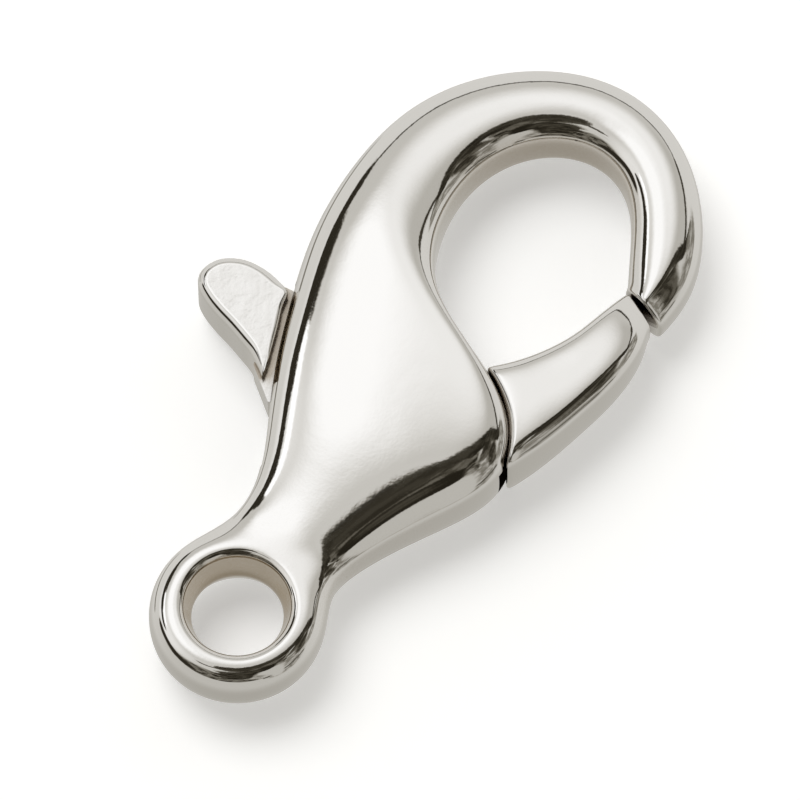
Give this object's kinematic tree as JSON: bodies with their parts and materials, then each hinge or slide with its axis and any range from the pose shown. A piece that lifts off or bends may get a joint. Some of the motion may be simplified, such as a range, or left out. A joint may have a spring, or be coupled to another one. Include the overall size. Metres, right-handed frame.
{
  "type": "lobster clasp",
  "caption": "Lobster clasp of plated metal: a hook body with a round eye at its end, closed by a sprung lever with a thumb tab at the side.",
  "frame": {"origin": "middle of the eye's hole, at half the thickness", "axes": "+X towards the gate's side, +Y from the eye to the top of the hook, +Z out of the front along the eye's hole"},
  "size_m": [0.0185, 0.035, 0.0044],
  "materials": {
    "plated_casting": "polished nickel plate on a zinc casting",
    "pin_steel": "drawn steel pin"
  },
  "bodies": {
    "casting": {"body": "plated_casting", "pivot_pin": "pin_steel"},
    "lever": {"lever": "plated_casting"}
  },
  "joints": [
    {"name": "lever_pivot", "type": "hinge", "parent": "casting", "child": "lever", "pos_m": [0.0007, 0.0135, 0], "axis": [0, 0, 1], "range_deg": [0, 18], "stiffness_Nm_per_rad": 0.02, "springref_deg": -0.43}
  ]
}
